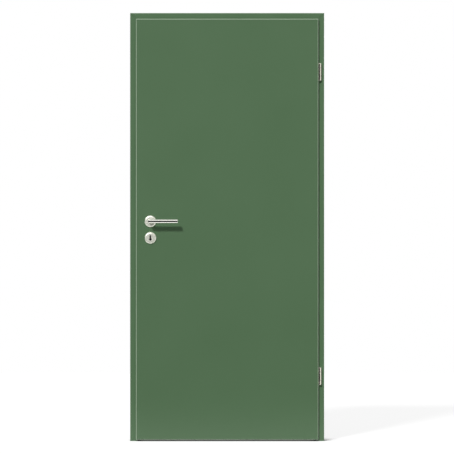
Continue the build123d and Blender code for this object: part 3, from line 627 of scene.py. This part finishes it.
def stand_for(mesh, name, body, finish):
    """Turn a bmesh into a piece that stands for a node, with its body, slot and finish."""
    bmesh.ops.recalc_face_normals(mesh, faces=mesh.faces)
    data = bpy.data.meshes.new(name + "_turned")
    mesh.to_mesh(data)
    mesh.free()
    piece = bpy.data.objects.new(name + "_turned", data)
    bpy.context.scene.collection.objects.link(piece)
    data.materials.append(finish)
    data.shade_smooth()
    data.set_sharp_from_angle(angle=SHARP_FROM)
    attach(piece, body)
    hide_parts(name)
    return piece


print("nuts found:", len(solids_of("corner_nuts")))

# %% [markdown]
# The forend is held by two countersunk wood screws. Seen with the leaf open, each head has a cross
# recess, and the thread bites into the stile. The head's cone is the solid's own, and the thread's
# crest keeps to the solid's shank, so the screw still fits its hole.

# %% Countersunk forend screws
RECESS_DEPTH = 2.2 * MM
RECESS_FOOT = cross(2.2 * MM, 0.7 * MM)
RECESS_MOUTH = cross(3.6 * MM, 1.1 * MM)
CONE_HEIGHT = 1.5 * MM
PLAIN_END = 4.0 * MM
BITE_START = 4.5 * MM
BITE_PITCH = 1.8 * MM
POINT_LENGTH = 3.0 * MM
BITE_CORE_SHARE = 0.7
POINT_SHARE = 0.1

screws = bmesh.new()
for low, high in solids_of("forend_screws"):
    head = (high.y - low.y) / 2
    shank = head - CONE_HEIGHT
    length = high.x - low.x
    outline = [
        (RECESS_DEPTH, RECESS_FOOT),
        (0.0, RECESS_MOUTH),
        (0.0, head),
        (CONE_HEIGHT, shank),
        (PLAIN_END, shank),
        *thread(BITE_START, length - POINT_LENGTH, BITE_CORE_SHARE * shank, shank, BITE_PITCH),
        (length, POINT_SHARE * shank),
    ]
    centre = (low + high) / 2
    turn(screws, outline, (low.x, centre.y, centre.z), (1, 0, 0))
forend_screws = stand_for(screws, "forend_screws", "leaf", ground_steel)
print(forend_screws.name, len(forend_screws.data.polygons), "faces")

# %% [markdown]
# Two kinds of set screw have no head at all, only a hexagon socket in one end. Four clamp the hinge
# shanks in the frame and are reached from the rebate; two lock the levers on the spindle and are
# reached from below. One outline serves both, with its socket at the end that a key can reach.

# %% Set screws with hexagon sockets
SOCKET_DEPTH_SHARE = 0.45
RIM_SHARE = 0.82
ROOT_SHARE = 0.86
PITCH_SHARE = 0.3
LEAD_SHARE = 0.1
END_SHARE = 0.7


def set_screw(radius, length):
    """Outline of a set screw; its socket is as wide across flats as the screw's radius."""
    socket = hexagon(radius)
    lead = LEAD_SHARE * radius
    return [
        (SOCKET_DEPTH_SHARE * length, socket),
        (0.0, socket),
        (0.0, RIM_SHARE * radius),
        *thread(lead, length - 2 * lead, ROOT_SHARE * radius, radius, PITCH_SHARE * radius),
        (length, END_SHARE * radius),
    ]


clamps = bmesh.new()
for low, high in solids_of("receiver_clamp_screws"):
    centre = (low + high) / 2
    outline = set_screw((high.z - low.z) / 2, high.x - low.x)
    turn(clamps, outline, (low.x, centre.y, centre.z), (1, 0, 0))
clamp_screws = stand_for(clamps, "receiver_clamp_screws", "frame", zinc_steel)

grubs = bmesh.new()
for low, high in solids_of("lever_grub_screws"):
    centre = (low + high) / 2
    outline = set_screw((high.y - low.y) / 2, high.z - low.z)
    turn(grubs, outline, (centre.x, centre.y, low.z), (0, 0, 1))
grub_screws = stand_for(grubs, "lever_grub_screws", "handle", ground_steel)
print(clamp_screws.name, grub_screws.name)

# %% [markdown]
# The corner plates hang on weld studs behind the frame's face, under plain hexagon nuts. A real nut
# is a hexagon whose corners are turned off to a cone at both faces. In the lathe that is the
# hexagon's radius, limited by a circle at each face.

# %% Chamfered nuts on the corner plates
NUT_CHAMFER_SHARE = 0.12
NUT_FACE_SHARE = 0.49
NUT_BORE_SHARE = 0.32
BORE_MOUTH_SHARE = 1.12

nuts = bmesh.new()
for low, high in solids_of("corner_nuts"):
    centre = (low + high) / 2
    flats = min(high.x - low.x, high.z - low.z)
    height = high.y - low.y
    chamfer = NUT_CHAMFER_SHARE * height
    bore = NUT_BORE_SHARE * flats
    hexagonal = hexagon(flats)
    face = inside(hexagonal, NUT_FACE_SHARE * flats)
    outline = [
        (0.0, bore),
        (0.0, face),
        (chamfer, hexagonal),
        (height - chamfer, hexagonal),
        (height, face),
        (height, BORE_MOUTH_SHARE * bore),
    ]
    turn(nuts, outline, (centre.x, low.y, centre.z), (0, 1, 0), ring=True)
corner_nuts = stand_for(nuts, "corner_nuts", "frame", zinc_steel)
print(corner_nuts.name, len(corner_nuts.data.polygons), "faces")

# %% [markdown]
# The latch is pushed out by a bent leaf spring. It is the one piece of the door that changes shape:
# when the lever draws the latch in, the spring is pressed together against the back of the lock
# case. It is modelled as a bent strip and rides on the leaf.

# %% Latch spring
SPRING_SHEET = 0.8 * MM
FOOT_SHARE = 0.23
SLOPE_SHARE = 0.54
BEND_SHARE = 0.4
BEND_STEPS = 10
spring_low, spring_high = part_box("latch_spring")


def spring_path():
    """The strip's middle line: up the latch's hook, over to the case wall, and up it."""
    left, right = spring_low.x + SPRING_SHEET, spring_high.x - SPRING_SHEET
    rise = spring_high.z - spring_low.z
    corners = [
        Vector((left, 0, spring_low.z)),
        Vector((left, 0, spring_low.z + FOOT_SHARE * rise)),
        Vector((right, 0, spring_low.z + SLOPE_SHARE * rise)),
        Vector((right, 0, spring_high.z)),
    ]
    path = [corners[0]]
    for before, corner, after in zip(corners, corners[1:], corners[2:]):
        reach = BEND_SHARE * min((corner - before).length, (after - corner).length)
        start = corner + reach * (before - corner).normalized()
        end = corner + reach * (after - corner).normalized()
        for step in range(BEND_STEPS + 1):
            t = step / BEND_STEPS
            path.append((1 - t) ** 2 * start + 2 * t * (1 - t) * corner + t**2 * end)
    return path + [corners[-1]]


def bent_strip(path):
    """A sheet along a path, as wide in Y as the spring's solid."""
    mesh = bmesh.new()
    front, rear = Vector((0, spring_low.y, 0)), Vector((0, spring_high.y, 0))
    loops = []
    for before, here, after in zip([path[0]] + path, path, path[1:] + [path[-1]]):
        way = (after - before).normalized()
        out = Vector((-way.z, 0, way.x)) * SPRING_SHEET / 2
        corners = [here + out + front, here - out + front, here - out + rear, here + out + rear]
        loops.append([mesh.verts.new(corner) for corner in corners])
    skin(mesh, loops)
    return mesh


latch_spring = stand_for(bent_strip(spring_path()), "latch_spring", "leaf", ground_steel)
latch_slide = next(joint for joint in frame["joints"] if joint["name"] == "latch_slide")
latch_travel = latch_slide["range_m"][1]
spring_span = spring_high.x - spring_low.x
1 - latch_travel / spring_span
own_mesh(latch_spring)
print(latch_spring.name, "keeps", round(1 - latch_travel / spring_span, 2), "of its span")

# %% [markdown]
# The stage is plain. The floor is a pale sheet that catches the door's shadow; for the camera and
# for reflections it also glows, so that it meets the white backdrop without an edge. The glow
# stops where the door hides the floor from the light, or the gap under the leaf would be bright: an
# occlusion node that looks towards the light finds those places at any pose. The sheet ends just
# below the picture's edge, where the black cloth in front of the door begins.

# %% Floor
FLOOR_COLOUR = (0.28, 0.28, 0.28)
FLOOR_GLOW = 0.78
MIRRORED_GLOW = 0.5
FLOOR_FRONT = -0.76
FLOOR_REACH = 6.0
KEY_FROM = Vector((-0.32, -0.753, 0.577))
HIDDEN_REACH = 0.3
HIDDEN, OPEN = 0.5, 0.85


def ray_is(tree, kind):
    return tree.node("ShaderNodeLightPath", output=f"Is {kind} Ray")


def seen_directly(tree):
    """1 for rays from the camera, from metal and through glass, and 0 for diffuse light."""
    rays = ray_is(tree, "Camera") + ray_is(tree, "Glossy") + ray_is(tree, "Transmission")
    return tree.maths("MINIMUM", rays, 1.0)


def floor_material():
    constants = {
        "Base Color": shade(FLOOR_COLOUR),
        "Roughness": 1.0,
        "Specular IOR Level": 0.0,
        "Emission Strength": 1.0,
    }
    material, shader, tree = start_finish("floor", constants)
    towards_light = tree.node("ShaderNodeCombineXYZ", {}, dict(zip("XYZ", KEY_FROM)))
    sockets = {"Distance": HIDDEN_REACH, "Normal": towards_light}
    open_share = tree.node("ShaderNodeAmbientOcclusion", {}, sockets, output="AO")
    glow = FLOOR_GLOW * seen_directly(tree) + MIRRORED_GLOW * ray_is(tree, "Glossy")
    return feed(material, shader, emission_color=glow * ramp(open_share, HIDDEN, OPEN))


floor_corners = [
    (-FLOOR_REACH, FLOOR_FRONT, frame_low.z),
    (FLOOR_REACH, FLOOR_FRONT, frame_low.z),
    (FLOOR_REACH, FLOOR_REACH, frame_low.z),
    (-FLOOR_REACH, FLOOR_REACH, frame_low.z),
]
floor_mesh = bpy.data.meshes.new("floor")
floor_mesh.from_pydata(floor_corners, [], [range(len(floor_corners))])
floor_mesh.materials.append(floor_material())
floor = bpy.data.objects.new("floor", floor_mesh)
bpy.context.scene.collection.objects.link(floor)
print("floor", floor_corners[0], "to", floor_corners[2])

# %% [markdown]
# The world is the studio's white tent. It lights the door evenly at less than full strength; what
# the camera and the metal see of it is white. Polished metal needs something dark to mirror, or
# it looks like plaster. Studios hang black cloth for that. An upright strip of it in front of the
# door, and another behind, draw the dark line along the levers. A band at eye level that runs off
# to the left darkens one side of the hinge barrels, and a shorter one hangs behind. All are narrow,
# so the brushed roses stay light. Overhead, where the lamps hang, the tent is brighter.

# %% White tent with black cloth
FILL = 0.45
STRIP_HALF_WIDTH = 0.16
STRIP_LOW, STRIP_HIGH = sin(radians(-57)), sin(radians(50))
BAND_HALF_HEIGHT = 0.25
BAND_MIDDLE, BAND_HALF_TURN = radians(-40), radians(75)
REAR_HALF_TURN = radians(40)
PAST_THE_END = 2.0
CLOTH_EDGE = 0.03
CLOTH_SHADE = 0.985
LAMP_GLOW = 0.5


def between(value, low, high):
    """1 between two limits, with soft edges."""
    past_low = ramp(value, low - CLOTH_EDGE, low + CLOTH_EDGE)
    past_high = ramp(value, high - CLOTH_EDGE, high + CLOTH_EDGE)
    return past_low * (1 - past_high)


world = bpy.data.worlds.new("white_tent")
world.use_nodes = True
bpy.context.scene.world = world
tent = Wire(world.node_tree)
x, y, z = axes_of(tent.node("ShaderNodeTexCoord", output="Generated"))
strip = between(x, -STRIP_HALF_WIDTH, STRIP_HALF_WIDTH) * between(z, STRIP_LOW, STRIP_HIGH)
facing = sin(BAND_MIDDLE) * x - cos(BAND_MIDDLE) * y
round_front = between(facing, cos(BAND_HALF_TURN), PAST_THE_END)
round_rear = between(y, cos(REAR_HALF_TURN), PAST_THE_END)
at_eye_level = between(z, -BAND_HALF_HEIGHT, BAND_HALF_HEIGHT)
band = at_eye_level * tent.maths("MAXIMUM", round_front, round_rear)
overhead = LAMP_GLOW * ramp(z, STRIP_HIGH, STRIP_HIGH + CLOTH_EDGE)
mirrored = 1 + overhead - CLOTH_SHADE * tent.maths("MAXIMUM", strip, band)
is_camera = ray_is(tent, "Camera")
seen = seen_directly(tent)
strength = is_camera + (seen - is_camera) * mirrored + (1 - seen) * FILL
background = world.node_tree.nodes["Background"]
background.inputs["Color"].default_value = (1.0, 1.0, 1.0, 1.0)
world.node_tree.links.new(strength.socket, background.inputs["Strength"])
print("tent fill", FILL)

# %% [markdown]
# One lamp gives the shadows. The lever's shadow falls about two fingers lower on the leaf and one to
# the right, so the light stands high, in front and to the left. A sun lamp keeps the light the
# same from top to bottom of a two-metre leaf, and a few degrees of size soften the shadow's edge.
# A weaker and softer lamp stands behind, where the key light doesn't reach.

# %% Lamps
KEY_ENERGY, KEY_SIZE = 2.35, radians(7)
REAR_FROM = Vector((0.42, 0.86, 0.28))
REAR_ENERGY, REAR_SIZE = 1.0, radians(25)


def lamp(name, shines_from, energy, size):
    data = bpy.data.lights.new(name, "SUN")
    data.energy = energy
    data.angle = size
    made = bpy.data.objects.new(name, data)
    made.rotation_mode = "QUATERNION"
    made.rotation_quaternion = (-shines_from).to_track_quat("-Z", "Y")
    bpy.context.scene.collection.objects.link(made)
    return made


key_lamp = lamp("key", KEY_FROM, KEY_ENERGY, KEY_SIZE)
rear_lamp = lamp("rear", REAR_FROM, REAR_ENERGY, REAR_SIZE)
print("lamps:", key_lamp.name, rear_lamp.name)

# %% [markdown]
# The picture is taken straight on, from far away: no side of the frame shows, and the upright lines
# stay upright. So the camera stands thirteen metres in front of the door with a long lens. The
# lens follows from the width that the picture shows at the frame's face.

# %% Camera
VIEW_WIDTH = 2.1432
VIEW_CENTRE = (-0.0008, 1.0103)
STAND_OFF = 13.0
SENSOR_WIDTH = 36.0
CLIP_END = 100.0
camera_data = bpy.data.cameras.new("camera")
camera_data.sensor_width = SENSOR_WIDTH
camera_data.lens = SENSOR_WIDTH * STAND_OFF / VIEW_WIDTH
camera_data.clip_end = CLIP_END
camera = bpy.data.objects.new("camera", camera_data)
face_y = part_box("lock_jamb")[0].y
camera.location = (VIEW_CENTRE[0], face_y - STAND_OFF, VIEW_CENTRE[1])
camera.rotation_euler = (pi / 2, 0, 0)
bpy.context.scene.collection.objects.link(camera)
bpy.context.scene.camera = camera
bpy.context.scene.view_settings.view_transform = "Standard"
print("lens", round(camera_data.lens, 1), "mm")

# %% [markdown]
